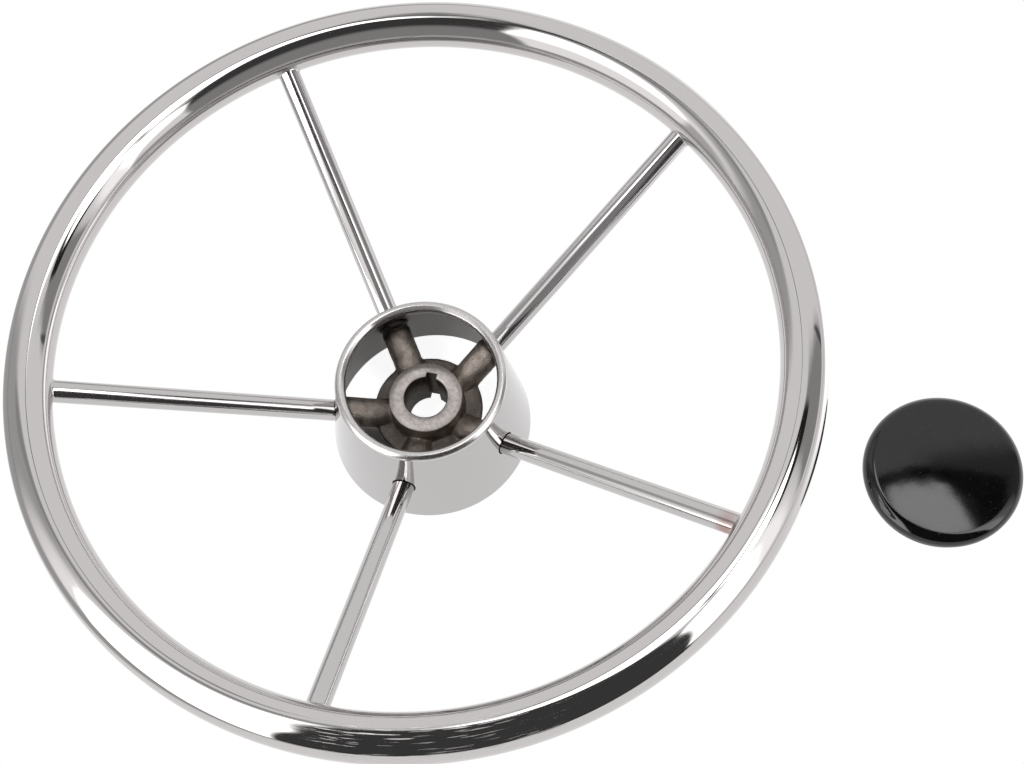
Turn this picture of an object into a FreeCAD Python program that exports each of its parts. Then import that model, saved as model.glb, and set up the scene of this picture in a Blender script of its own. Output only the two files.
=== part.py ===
import FreeCAD, Part
import os
import Sketcher

# Five-spoke dished steering wheel in stainless steel, lying on the base of its hub, +Z towards the driver.
# The origin is on the wheel's axis at the base of the hub shell, +Y is twelve o'clock, where the keyway is.
# Lengths are millimetres and angles are degrees.

# Driving dimensions
SIZES = {
    # rim and dish
    "wheel_diameter": 343.0,
    "rim_tube_diameter": 20.0,
    "rim_wall": 1.5,
    "dish_angle": 25.0,
    "apex_height": 6.7,
    # spokes
    "spoke_count": 5,
    "spoke_diameter": 9.5,
    "weld_radius": 1.2,
    # hub shell
    "shell_base_diameter": 90.5,
    "shell_mouth_diameter": 75.0,
    "shell_height": 51.0,
    "shell_wall": 1.2,
    "spoke_hole_gap": 0.3,
    "hem_radius": 2.4,
    "hem_angle": 20.0,
    "hem_edge_height": 41.3,
    # hub spider
    "boss_diameter": 33.0,
    "boss_base_height": 6.0,
    "boss_length": 24.0,
    "bore_diameter": 19.05,
    "bore_chamfer": 0.4,
    "key_width": 5.0,
    "key_depth": 2.4,
    "web_diameter": 49.0,
    "web_thickness": 3.0,
    "web_height": 15.0,
    "arm_diameter": 11.5,
    "arm_flare_radius": 2.5,
    "root_fillet": 1.2,
    "socket_depth": 5.0,
    "socket_gap": 0.05,
    # centre cap
    "cap_edge_inset": 0.49,
    "cap_plug_gap": 0.3,
    "cap_plug_depth": 6.0,
    "cap_wall": 2.0,
    "cap_edge_height": 0.8,
    "cap_shoulder_radius": 5.5,
    "cap_crown_radius": 300.0,
    "cap_snap_height": 0.7,
    "cap_place_x": 229.2,
    "cap_place_y": 20.0,
}

doc = FreeCAD.newDocument("steering_wheel")
sheet = doc.addObject("Spreadsheet::Sheet", "sizes")
for row, (alias, size) in enumerate(SIZES.items(), start=1):
    sheet.set(f"A{row}", alias)
    sheet.set(f"B{row}", str(size))
    sheet.setAlias(f"B{row}", alias)
doc.recompute()

# Places that follow from the driving dimensions, as expressions on the sheet
COS_DISH = "cos(sizes.dish_angle)"
SIN_DISH = "sin(sizes.dish_angle)"
RIM_RADIUS = "(sizes.wheel_diameter - sizes.rim_tube_diameter) / 2"
RIM_HEIGHT = f"(sizes.apex_height + {RIM_RADIUS} * tan(sizes.dish_angle))"
SPOKE_END = f"({RIM_RADIUS} / {COS_DISH})"

# Slope of the shell's side, and the radius of its outside and inside faces at a height
SIDE_SLOPE = "((sizes.shell_base_diameter - sizes.shell_mouth_diameter) / 2 / sizes.shell_height)"
COS_SIDE = f"cos(atan({SIDE_SLOPE}))"
SIN_SIDE = f"sin(atan({SIDE_SLOPE}))"
SIDE_WALL = f"(sizes.shell_wall / {COS_SIDE})"


def outside_radius(height):
    return f"(sizes.shell_base_diameter / 2 - {SIDE_SLOPE} * ({height}))"


def inside_radius(height):
    return f"({outside_radius(height)} - {SIDE_WALL})"


# Centre of the hem's roll, which touches the side's outside face and the top of the shell
HEM_HEIGHT = "(sizes.shell_height - sizes.hem_radius)"
HEM_CENTRE = f"({outside_radius(HEM_HEIGHT)} - sizes.hem_radius / {COS_SIDE})"
HEM_INNER = "(sizes.hem_radius - sizes.shell_wall)"
COS_HEM = "cos(sizes.hem_angle)"
SIN_HEM = "sin(sizes.hem_angle)"

# Distance along a spoke's axis, from the wheel's axis, to the shell's inside face
WALL_DISTANCE = (
    f"((sizes.shell_base_diameter / 2 - {SIDE_WALL} - {SIDE_SLOPE} * sizes.apex_height)"
    f" / ({COS_DISH} + {SIDE_SLOPE} * {SIN_DISH}))"
)
SOCKET_FLOOR = f"({WALL_DISTANCE} - sizes.socket_depth)"


def along_spoke(distance, offset):
    """A point at a distance along a spoke's axis and an offset above it, as x and z."""
    x = f"({distance}) * {COS_DISH} - ({offset}) * {SIN_DISH}"
    z = f"sizes.apex_height + ({distance}) * {SIN_DISH} + ({offset}) * {COS_DISH}"
    return x, z


def number(expression):
    result = sheet.evalExpression(expression)
    return float(getattr(result, "Value", result))


# Sketch helpers
def new_sketch(body, name, role):
    sketch = body.newObject("Sketcher::SketchObject", name)
    plane = next(item for item in body.Origin.OriginFeatures if item.Role == role)
    sketch.AttachmentSupport = [(plane, "")]
    sketch.MapMode = "FlatFace"
    return sketch


def pin_point(sketch, edge, end, x, y):
    """Ties one end of a sketch edge to a place given by two expressions."""
    if x == "0":
        sketch.addConstraint(Sketcher.Constraint("PointOnObject", edge, end, -2))
    else:
        index = sketch.addConstraint(Sketcher.Constraint("DistanceX", -1, 1, edge, end, number(x)))
        sketch.setExpression(f"Constraints[{index}]", x)
    if y == "0":
        sketch.addConstraint(Sketcher.Constraint("PointOnObject", edge, end, -1))
    else:
        index = sketch.addConstraint(Sketcher.Constraint("DistanceY", -1, 1, edge, end, number(y)))
        sketch.setExpression(f"Constraints[{index}]", y)


def tie_size(sketch, kind, edge, expression):
    index = sketch.addConstraint(Sketcher.Constraint(kind, edge, number(expression)))
    sketch.setExpression(f"Constraints[{index}]", expression)


def minor_arc(start, end, radius, turns_left):
    """The short arc between two points, and whether it runs from start to end anticlockwise."""
    chord = end.sub(start)
    rise = max(radius**2 - (chord.Length / 2) ** 2, 0.0) ** 0.5
    side = FreeCAD.Vector(-chord.y, chord.x, 0).normalize()
    if not turns_left:
        side = side.negative()
    centre = start.add(end).multiply(0.5).add(side.multiply(rise))
    circle = Part.Circle(centre, FreeCAD.Vector(0, 0, 1), radius)
    first, last = (start, end) if turns_left else (end, start)
    return Part.ArcOfCircle(circle, circle.parameter(first), circle.parameter(last))


def closed_outline(sketch, corners, arcs=None):
    """A closed outline through corners given as expressions.

    arcs maps the number of an edge to its radius and to whether it turns left from its first corner.
    """
    arcs = arcs or {}
    points = [FreeCAD.Vector(number(x), number(y), 0) for x, y in corners]
    ends = []
    for edge, start in enumerate(points):
        end = points[(edge + 1) % len(points)]
        if edge in arcs:
            radius, turns_left = arcs[edge]
            sketch.addGeometry(minor_arc(start, end, number(radius), turns_left))
            ends.append((1, 2) if turns_left else (2, 1))
        else:
            sketch.addGeometry(Part.LineSegment(start, end))
            ends.append((1, 2))
    for edge in range(len(points)):
        following = (edge + 1) % len(points)
        sketch.addConstraint(
            Sketcher.Constraint("Coincident", edge, ends[edge][1], following, ends[following][0])
        )
    for edge, (x, y) in enumerate(corners):
        pin_point(sketch, edge, ends[edge][0], x, y)
    for edge, (radius, _) in arcs.items():
        tie_size(sketch, "Radius", edge, radius)


def spoke_axis(sketch):
    """A construction line on the axis of a spoke, to turn a profile about."""
    start = along_spoke("0", "0")[1]
    end = along_spoke(SPOKE_END, "0")
    first = FreeCAD.Vector(0, number(start), 0)
    last = FreeCAD.Vector(number(end[0]), number(end[1]), 0)
    edge = sketch.addGeometry(Part.LineSegment(first, last), True)
    pin_point(sketch, edge, 1, "0", start)
    pin_point(sketch, edge, 2, *end)


def round_rim_section(sketch, diameters):
    """Circles on the centre of the rim's tube."""
    centre = FreeCAD.Vector(number(RIM_RADIUS), number(RIM_HEIGHT), 0)
    for diameter in diameters:
        circle = Part.Circle(centre, FreeCAD.Vector(0, 0, 1), number(diameter) / 2)
        edge = sketch.addGeometry(circle)
        pin_point(sketch, edge, 3, RIM_RADIUS, RIM_HEIGHT)
        tie_size(sketch, "Diameter", edge, diameter)


# Feature helpers
def turned(body, kind, name, sketch, axis, angle=None):
    """A revolution or groove of a sketch about one of its own axes, all round or through a part turn."""
    feature = body.newObject(kind, name)
    feature.Profile = sketch
    feature.ReferenceAxis = (sketch, [axis])
    if angle is None:
        feature.Angle = 360
    else:
        feature.setExpression("Angle", angle)
        feature.Midplane = True
    doc.recompute()
    return feature


def round_the_axis(body, name, sketch, features):
    """Repeats features once for each spoke."""
    pattern = body.newObject("PartDesign::PolarPattern", name)
    pattern.Originals = features
    pattern.Axis = (sketch, ["V_Axis"])
    pattern.Angle = 360
    pattern.setExpression("Occurrences", "sizes.spoke_count")
    body.Tip = pattern
    doc.recompute()
    return pattern


def edges_where(shape, wanted):
    """Names of the edges whose two faces the test accepts, in either order."""
    names = []
    for position, edge in enumerate(shape.Edges, start=1):
        faces = shape.ancestorsOfType(edge, Part.Face)
        if len(faces) == 2 and (wanted(faces[0], faces[1]) or wanted(faces[1], faces[0])):
            names.append(f"Edge{position}")
    return names


def is_round(face, diameter):
    surface = face.Surface
    return isinstance(surface, Part.Cylinder) and abs(surface.Radius * 2 - diameter) < 0.001


def is_level(face, height):
    box = face.BoundBox
    return isinstance(face.Surface, Part.Plane) and abs(box.ZMin - height) + abs(box.ZMax - height) < 0.001


def new_body(name):
    body = doc.addObject("PartDesign::Body", name)
    body.Label = name
    return body


# Spokes are drawn towards +X and each body is then turned to its place, one of them at six o'clock
FIRST_SPOKE = -90


def turn_body(body, angle):
    body.Placement = FreeCAD.Placement(
        FreeCAD.Vector(0, 0, 0), FreeCAD.Rotation(FreeCAD.Vector(0, 0, 1), angle)
    )


# Rim, a bent tube
def build_rim():
    body = new_body("rim")
    section = new_sketch(body, "rim_section", "XZ_Plane")
    round_rim_section(
        section, ["sizes.rim_tube_diameter", "sizes.rim_tube_diameter - 2 * sizes.rim_wall"]
    )
    turned(body, "PartDesign::Revolution", "rim_tube", section, "V_Axis")
    return body


# Turn of the short piece of rim outline that a spoke is coped against, wider than the rod and its weld
COPE_ANGLE = "(4 * asin(sizes.spoke_diameter / 2 / (sizes.wheel_diameter / 2 - sizes.rim_tube_diameter)))"


# Spoke, a rod coped to the rim with its weld fillet, and a flat end in the spider's socket
def build_spoke(place):
    name = f"spoke_{place + 1}"
    body = new_body(name)
    section = new_sketch(body, f"{name}_rim_section", "XZ_Plane")
    round_rim_section(section, ["sizes.rim_tube_diameter"])
    turned(body, "PartDesign::Revolution", f"{name}_rim_stub", section, "V_Axis", COPE_ANGLE)

    rod = new_sketch(body, f"{name}_rod_profile", "XZ_Plane")
    radius = "sizes.spoke_diameter / 2"
    closed_outline(
        rod,
        [
            along_spoke(SOCKET_FLOOR, "0"),
            along_spoke(SPOKE_END, "0"),
            along_spoke(SPOKE_END, radius),
            along_spoke(SOCKET_FLOOR, radius),
        ],
    )
    spoke_axis(rod)
    joined = turned(body, "PartDesign::Revolution", f"{name}_rod", rod, "Axis0")

    weld = body.newObject("PartDesign::Fillet", f"{name}_weld")
    rod_size = SIZES["spoke_diameter"]
    weld.Base = (
        joined,
        edges_where(
            joined.Shape, lambda a, b: isinstance(a.Surface, Part.Toroid) and is_round(b, rod_size)
        ),
    )
    weld.setExpression("Radius", "sizes.weld_radius")
    doc.recompute()

    cope = new_sketch(body, f"{name}_cope_section", "XZ_Plane")
    round_rim_section(cope, ["sizes.rim_tube_diameter"])
    turned(body, "PartDesign::Groove", f"{name}_cope", cope, "V_Axis")
    turn_body(body, FIRST_SPOKE + place * 360 / SIZES["spoke_count"])
    return body


# Hub shell, a conical sheet cover with a curled hem and clearance holes for the spokes
def build_hub_shell():
    body = new_body("hub_shell")
    profile = new_sketch(body, "shell_profile", "XZ_Plane")
    hem_start = (f"{HEM_CENTRE} - sizes.hem_radius * {COS_HEM}", f"{HEM_HEIGHT} - sizes.hem_radius * {SIN_HEM}")
    leg_drop = f"({hem_start[1]} - sizes.hem_edge_height)"
    leg_end = f"({hem_start[0]} + {leg_drop} * {SIN_HEM} / {COS_HEM})"
    closed_outline(
        profile,
        [
            ("sizes.shell_base_diameter / 2", "0"),
            (
                f"{HEM_CENTRE} + sizes.hem_radius * {COS_SIDE}",
                f"{HEM_HEIGHT} + sizes.hem_radius * {SIN_SIDE}",
            ),
            (HEM_CENTRE, "sizes.shell_height"),
            hem_start,
            (leg_end, "sizes.hem_edge_height"),
            (
                f"{leg_end} + sizes.shell_wall * {COS_HEM}",
                f"sizes.hem_edge_height + sizes.shell_wall * {SIN_HEM}",
            ),
            (f"{HEM_CENTRE} - {HEM_INNER} * {COS_HEM}", f"{HEM_HEIGHT} - {HEM_INNER} * {SIN_HEM}"),
            (HEM_CENTRE, "sizes.shell_height - sizes.shell_wall"),
            (f"{HEM_CENTRE} + {HEM_INNER} * {COS_SIDE}", f"{HEM_HEIGHT} + {HEM_INNER} * {SIN_SIDE}"),
            (inside_radius("0"), "0"),
        ],
        {
            1: ("sizes.hem_radius", True),
            2: ("sizes.hem_radius", True),
            6: (HEM_INNER, False),
            7: (HEM_INNER, False),
        },
    )
    turned(body, "PartDesign::Revolution", "shell_wall", profile, "V_Axis")

    hole = new_sketch(body, "spoke_hole_profile", "XZ_Plane")
    radius = "sizes.spoke_diameter / 2 + sizes.spoke_hole_gap"
    start = f"{WALL_DISTANCE} - sizes.spoke_diameter / 2"
    end = f"{WALL_DISTANCE} + sizes.spoke_diameter"
    closed_outline(
        hole,
        [along_spoke(start, "0"), along_spoke(end, "0"), along_spoke(end, radius), along_spoke(start, radius)],
    )
    spoke_axis(hole)
    cut = turned(body, "PartDesign::Groove", "spoke_hole", hole, "Axis0")
    round_the_axis(body, "spoke_holes", profile, [cut])
    turn_body(body, FIRST_SPOKE)
    return body


# Hub spider, one casting: boss, thin round web and flared arms with sockets, then the machined bore
def build_hub_spider():
    body = new_body("hub_spider")
    boss = new_sketch(body, "boss_profile", "XZ_Plane")
    boss_radius = "sizes.boss_diameter / 2"
    boss_top = "sizes.boss_base_height + sizes.boss_length"
    web_radius = "sizes.web_diameter / 2"
    web_top = "sizes.web_height + sizes.web_thickness"
    closed_outline(
        boss,
        [
            ("0", "sizes.boss_base_height"),
            (boss_radius, "sizes.boss_base_height"),
            (boss_radius, "sizes.web_height"),
            (web_radius, "sizes.web_height"),
            (web_radius, web_top),
            (boss_radius, web_top),
            (boss_radius, boss_top),
            ("0", boss_top),
        ],
    )
    turned(body, "PartDesign::Revolution", "boss_and_web", boss, "V_Axis")

    arm = new_sketch(body, "arm_profile", "XZ_Plane")
    arm_radius = "sizes.arm_diameter / 2"
    flare_radius = f"{arm_radius} + sizes.arm_flare_radius"
    arm_start = f"(sizes.bore_diameter + sizes.boss_diameter) / 4 / {COS_DISH}"
    flare_start = f"{WALL_DISTANCE} - sizes.arm_flare_radius"
    arm_end = f"{WALL_DISTANCE} + sizes.arm_diameter / 2"
    closed_outline(
        arm,
        [
            along_spoke(arm_start, "0"),
            along_spoke(arm_end, "0"),
            along_spoke(arm_end, flare_radius),
            along_spoke(WALL_DISTANCE, flare_radius),
            along_spoke(flare_start, arm_radius),
            along_spoke(arm_start, arm_radius),
        ],
        {3: ("sizes.arm_flare_radius", False)},
    )
    spoke_axis(arm)
    arm_solid = turned(body, "PartDesign::Revolution", "arm", arm, "Axis0")

    socket = new_sketch(body, "socket_profile", "XZ_Plane")
    socket_radius = "sizes.spoke_diameter / 2 + sizes.socket_gap"
    closed_outline(
        socket,
        [
            along_spoke(SOCKET_FLOOR, "0"),
            along_spoke(f"{arm_end} + 1", "0"),
            along_spoke(f"{arm_end} + 1", socket_radius),
            along_spoke(SOCKET_FLOOR, socket_radius),
        ],
    )
    spoke_axis(socket)
    socket_cut = turned(body, "PartDesign::Groove", "socket", socket, "Axis0")
    round_the_axis(body, "arms", boss, [arm_solid, socket_cut])

    trim = new_sketch(body, "arm_trim_profile", "XZ_Plane")
    trim_low = "-sizes.arm_diameter"
    trim_high = "sizes.shell_height + sizes.arm_diameter"
    trim_far = "sizes.shell_base_diameter"
    closed_outline(
        trim,
        [
            (inside_radius(trim_low), trim_low),
            (trim_far, trim_low),
            (trim_far, trim_high),
            (inside_radius(trim_high), trim_high),
        ],
    )
    trimmed = turned(body, "PartDesign::Groove", "arm_trim", trim, "V_Axis")

    arm_size = SIZES["arm_diameter"]
    boss_size = SIZES["boss_diameter"]
    web_levels = [number("sizes.web_height"), number(web_top)]

    def is_root(arm_face, other):
        if not is_round(arm_face, arm_size):
            return False
        return is_round(other, boss_size) or any(is_level(other, level) for level in web_levels)

    def is_web_corner(level_face, other):
        return any(is_level(level_face, level) for level in web_levels) and is_round(other, boss_size)

    roots = body.newObject("PartDesign::Fillet", "root_fillets")
    roots.Base = (trimmed, edges_where(trimmed.Shape, lambda a, b: is_root(a, b) or is_web_corner(a, b)))
    roots.setExpression("Radius", "sizes.root_fillet")
    doc.recompute()

    bore = new_sketch(body, "bore_profile", "XZ_Plane")
    bore_radius = "sizes.bore_diameter / 2"
    mouth_radius = f"{bore_radius} + sizes.bore_chamfer"
    closed_outline(
        bore,
        [
            ("0", "sizes.boss_base_height - sizes.bore_chamfer"),
            (f"{mouth_radius} + sizes.bore_chamfer", "sizes.boss_base_height - sizes.bore_chamfer"),
            (bore_radius, "sizes.boss_base_height + sizes.bore_chamfer"),
            (bore_radius, f"{boss_top} - sizes.bore_chamfer"),
            (f"{mouth_radius} + sizes.bore_chamfer", f"{boss_top} + sizes.bore_chamfer"),
            ("0", f"{boss_top} + sizes.bore_chamfer"),
        ],
    )
    turned(body, "PartDesign::Groove", "bore", bore, "V_Axis")

    keyway = new_sketch(body, "keyway_profile", "XY_Plane")
    key_far = "-(sizes.bore_diameter / 2 + sizes.key_depth)"
    closed_outline(
        keyway,
        [
            (key_far, "-sizes.key_width / 2"),
            ("-sizes.key_width", "-sizes.key_width / 2"),
            ("-sizes.key_width", "sizes.key_width / 2"),
            (key_far, "sizes.key_width / 2"),
        ],
    )
    slot = body.newObject("PartDesign::Pocket", "keyway")
    slot.Profile = keyway
    slot.Reversed = True
    slot.setExpression("Length", f"{boss_top} + 1")
    doc.recompute()
    turn_body(body, FIRST_SPOKE)
    return body


# Centre cap, lying on its plug skirt beside the wheel
def build_centre_cap():
    body = new_body("centre_cap")
    profile = new_sketch(body, "cap_profile", "XZ_Plane")
    plug_radius = f"({HEM_CENTRE} - sizes.hem_radius - sizes.cap_plug_gap)"
    bore_radius = f"({plug_radius} - sizes.cap_wall)"
    edge_radius = f"({HEM_CENTRE} - sizes.cap_edge_inset)"
    shoulder_x = f"({edge_radius} - sizes.cap_shoulder_radius)"
    shoulder_z = "(sizes.cap_plug_depth + sizes.cap_edge_height)"
    crown_reach = "(sizes.cap_crown_radius - sizes.cap_shoulder_radius)"
    crown_z = f"({shoulder_z} - sqrt({crown_reach} ^ 2 - {shoulder_x} ^ 2))"
    crown_grow = f"(sizes.cap_crown_radius / {crown_reach})"
    inner_crown = "(sizes.cap_crown_radius - sizes.cap_wall)"
    snap_low = "sizes.cap_snap_height"
    snap_mid = "2 * sizes.cap_snap_height"
    snap_high = "3 * sizes.cap_snap_height"
    closed_outline(
        profile,
        [
            ("0", f"{crown_z} + {inner_crown}"),
            (bore_radius, f"{crown_z} + sqrt({inner_crown} ^ 2 - {bore_radius} ^ 2)"),
            (bore_radius, "0"),
            (plug_radius, "0"),
            (plug_radius, snap_low),
            (f"{plug_radius} + sizes.cap_snap_height", snap_mid),
            (plug_radius, snap_high),
            (plug_radius, "sizes.cap_plug_depth"),
            (edge_radius, "sizes.cap_plug_depth"),
            (edge_radius, shoulder_z),
            (f"{shoulder_x} * {crown_grow}", f"{crown_z} + ({shoulder_z} - {crown_z}) * {crown_grow}"),
            ("0", f"{crown_z} + sizes.cap_crown_radius"),
        ],
        {
            0: (inner_crown, False),
            9: ("sizes.cap_shoulder_radius", True),
            10: ("sizes.cap_crown_radius", True),
        },
    )
    turned(body, "PartDesign::Revolution", "cap_moulding", profile, "V_Axis")
    body.Placement = FreeCAD.Placement(
        FreeCAD.Vector(SIZES["cap_place_x"], SIZES["cap_place_y"], 0), FreeCAD.Rotation()
    )
    return body


bodies = [build_rim(), build_hub_shell(), build_hub_spider(), build_centre_cap()]
bodies += [build_spoke(place) for place in range(SIZES["spoke_count"])]
doc.recompute()

for item in doc.Objects:
    if "Invalid" in item.State or "Error" in item.State:
        raise RuntimeError(f"{item.Name} failed: {item.State}")

os.makedirs("parts", exist_ok=True)
for body in bodies:
    shape = body.Shape
    if shape.isNull() or not shape.isValid() or len(shape.Solids) != 1:
        raise RuntimeError(f"{body.Label} is not one valid solid")
    shape.exportStep(os.path.join("parts", f"{body.Label}.step"))
    print(f"{body.Label}: {shape.Volume:.0f} mm3, {len(shape.Faces)} faces")
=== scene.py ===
from functools import partial
from math import acos, atan, cos, degrees, hypot, pi, radians, sin, sqrt, tan, tau

import bpy
import bmesh
import numpy as np
from mathutils import Matrix, Vector


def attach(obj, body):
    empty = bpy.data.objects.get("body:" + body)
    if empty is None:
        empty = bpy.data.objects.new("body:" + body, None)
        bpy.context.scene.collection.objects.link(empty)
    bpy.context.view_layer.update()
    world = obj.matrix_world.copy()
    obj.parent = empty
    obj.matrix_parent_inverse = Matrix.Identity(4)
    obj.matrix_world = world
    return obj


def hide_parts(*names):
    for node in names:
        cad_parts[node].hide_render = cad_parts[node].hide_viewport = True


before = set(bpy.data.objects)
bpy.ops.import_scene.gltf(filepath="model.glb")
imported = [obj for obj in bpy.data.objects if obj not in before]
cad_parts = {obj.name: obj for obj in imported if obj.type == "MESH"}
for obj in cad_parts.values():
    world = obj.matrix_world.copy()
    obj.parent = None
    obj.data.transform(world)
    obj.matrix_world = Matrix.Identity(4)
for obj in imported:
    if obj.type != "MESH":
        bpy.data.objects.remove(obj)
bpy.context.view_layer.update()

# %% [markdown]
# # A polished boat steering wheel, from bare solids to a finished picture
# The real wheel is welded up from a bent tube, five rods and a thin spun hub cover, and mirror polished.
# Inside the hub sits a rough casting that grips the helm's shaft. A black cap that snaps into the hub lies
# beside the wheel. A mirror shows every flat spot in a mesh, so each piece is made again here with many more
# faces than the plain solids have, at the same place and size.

MM = 0.001
print("nodes in the frame:", sorted(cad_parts))

# %% [markdown]
# ## Real sizes
# All sizes are millimetres on the real wheel and are turned to metres where a mesh is made. They are the
# solids' own sizes, so nothing has to be fitted by eye.

# %% Sizes
RING_RADIUS = 161.5
TUBE_RADIUS = 10.0
DISH = radians(25.0)
APEX = 6.7
RING_HEIGHT = APEX + RING_RADIUS * tan(DISH)
SPOKES = 5
FIRST_SPOKE = radians(-90)
ROD_RADIUS = 4.75
SHELL_BASE = 45.25
SHELL_TOP = 51.0
SHELL_WALL = 1.2
SLOPE = (45.25 - 37.5) / 51.0
SHELL_LEAN = atan(SLOPE)
BOSS_TOP = 30.0
BOSS_BASE = 6.0
BORE_RADIUS = 9.525
CAP_PLACE = (229.2, 20.0)
CAP_INSET = 0.49
print(f"rim centre lies {RING_HEIGHT:.1f} mm above the bench")

# %% [markdown]
# ## Small helpers for nodes and colours
# A node tree is a list of nodes and links. One function that adds a node, sets it up and plugs in its inputs
# keeps every tree below short, for shading and for geometry alike. Tied to a tree it is called add. Inputs
# are named, or listed in the node's own order: a MapRange takes the value, the range it comes from and the
# range it goes to. Colours are given as the hex values of a colour picker and are turned to the linear values
# that light is counted in.

# %% Node and colour helpers
def add_node(tree, kind, links=(), out=0, **settings):
    """Adds a node and gives the output that out names; links are outputs or values for its inputs."""
    node = tree.nodes.new(kind if "Node" in kind else "ShaderNode" + kind)
    for name, setting in settings.items():
        setattr(node, name, setting)
    for key, value in links.items() if isinstance(links, dict) else enumerate(links):
        if isinstance(value, bpy.types.NodeSocket):
            tree.links.new(value, node.inputs[key])
        else:
            node.inputs[key].default_value = value
    return node.outputs[out] if node.outputs else node


def linear(code):
    """Linear colour with alpha from an sRGB hex code."""
    parts = [int(code[i : i + 2], 16) / 255 for i in (1, 3, 5)]
    return tuple(p / 12.92 if p <= 0.04045 else ((p + 0.055) / 1.055) ** 2.4 for p in parts) + (1.0,)


def new_material(name):
    """A material, the function that adds its nodes, and the place on the object."""
    material = bpy.data.materials.new(name)
    material.use_nodes = True
    material.node_tree.nodes.clear()
    add = partial(add_node, material.node_tree)
    return material, add, add("TexCoord", out="Object")


SOFT = {"interpolation_type": "SMOOTHSTEP"}
STEEL_GREY = "#C7C4C3"
print("the steel's grey is", [round(c, 3) for c in linear(STEEL_GREY)])

# %% [markdown]
# ## Polished stainless steel
# Stainless 304 tube, buffed with a cloth wheel to a mirror. The eye gets three things from that: a light
# grey mirror, hair lines where the cloth ran along the tube, and a slow wobble of the reflections, because
# no buffed tube is perfectly round. The lines are about 1.6 mm apart here, far coarser than the real ones,
# which would be below one pixel. They follow the piece: noise is squeezed along the way the cloth ran. Round
# a ring that way is a circle, so the squeezed place is given by its x and y, which close on themselves, and
# the noise has four coordinates. Along a rod it is the rod's own axis.

# %% Ways of the buffing wheel
SQUEEZE = 0.02


def from_axis(add, place):
    """Distance of a point from the wheel's axis."""
    flat = add("VectorMath", [place, (1.0, 1.0, 0.0)], operation="MULTIPLY")
    return add("VectorMath", [flat], out="Value", operation="LENGTH")


def round_the_ring(add, place, squeeze=SQUEEZE):
    """Noise coordinates, a vector and a fourth one, that hardly change round the wheel's axis."""
    slow = add("VectorMath", {0: place, "Scale": squeeze}, operation="SCALE")
    slow_x, slow_y, _ = add("SeparateXYZ", [slow]).node.outputs
    height = add("SeparateXYZ", [place], out=2)
    return add("CombineXYZ", [from_axis(add, place), height, slow_x]), slow_y


def along_the_rod(add, place):
    """Noise coordinates, a vector and a fourth one, that hardly change along the nearest of the rods."""
    x, y, _ = add("SeparateXYZ", [place]).node.outputs
    turn = add("Math", [y, x], operation="ARCTAN2")
    step = tau / SPOKES
    for operation, value in (
        ("SUBTRACT", FIRST_SPOKE), ("DIVIDE", step), ("ROUND", 0), ("MULTIPLY", step), ("ADD", FIRST_SPOKE),
    ):
        turn = add("Math", [turn, value], operation=operation)
    level = add("VectorRotate", {"Vector": place, "Angle": turn}, rotation_type="Z_AXIS", invert=True)
    laid = add("VectorRotate", {"Vector": level, "Angle": DISH}, rotation_type="Y_AXIS")
    out, aside, _ = add("SeparateXYZ", [level]).node.outputs
    above = add("SeparateXYZ", [laid], out=2)
    along = add("Math", [out, SQUEEZE], operation="MULTIPLY")
    return add("CombineXYZ", [aside, above, along]), turn


print("the cloth ran round the ring and along the rods")

# %% [markdown]
# The rim's dark part near six o'clock shows handling: short scuffs about 5 mm long and under half a
# millimetre wide, all along the tube. They are rough spots in the mirror, so they change its roughness and
# not its colour, and two masks keep them to that part. The rod at four o'clock has a brown spot of welding
# heat at its rim end, which is a colour, because it is a film on the steel.

# %% Scuffs and heat tint
SCUFF_SQUEEZE = 0.03
SCUFF_WIDTH = 0.45
SCUFF_ROUGHNESS = 0.4
TINT_PLACE = (0.1415, -0.0475, 0.0765)


def handling_marks(add, place):
    """Share of scuffed steel: nought but on the rim's part near six o'clock."""
    vector, last = round_the_ring(add, place, SCUFF_SQUEEZE)
    flecks = add(
        "TexNoise", {"Vector": vector, "W": last, "Scale": 1 / (SCUFF_WIDTH * MM), "Detail": 1.0},
        noise_dimensions="4D",
    )
    x, y, _ = add("SeparateXYZ", [place]).node.outputs
    share = add("MapRange", [flecks, 0.59, 0.67])
    low = add("MapRange", [y, -0.125, -0.15], **SOFT)
    aside = add("MapRange", [x, -0.005, 0.02])
    for mask in (low, aside):
        share = add("Math", [share, mask], operation="MULTIPLY")
    return share


def tinted(add, place, colour):
    """The steel's colour with the brown blush of the heat, a few millimetres wide."""
    away = add("VectorMath", [place, TINT_PLACE], out="Value", operation="DISTANCE")
    blush = add("MapRange", [away, 7.5 * MM, 2 * MM, 0, 0.9], **SOFT)
    return add("Mix", {0: blush, 6: linear(colour), 7: linear("#A8837C")}, out=2, data_type="RGBA")


print(f"scuffs are {SCUFF_WIDTH} mm wide at most and the tint lies at {TINT_PLACE} m")

# %% [markdown]
# Five finishes of the same steel differ in how far they were polished. The tube is the best mirror, the spun
# sheet and the rods are a shade duller, the hem was buffed only lightly, and the cover's inside was left as
# it came off the lathe, which gives the eye a soft grey sheen without an image.

# %% Polished stainless steel
LINE_WIDTH = 1.6
RIPPLE = 28


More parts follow.
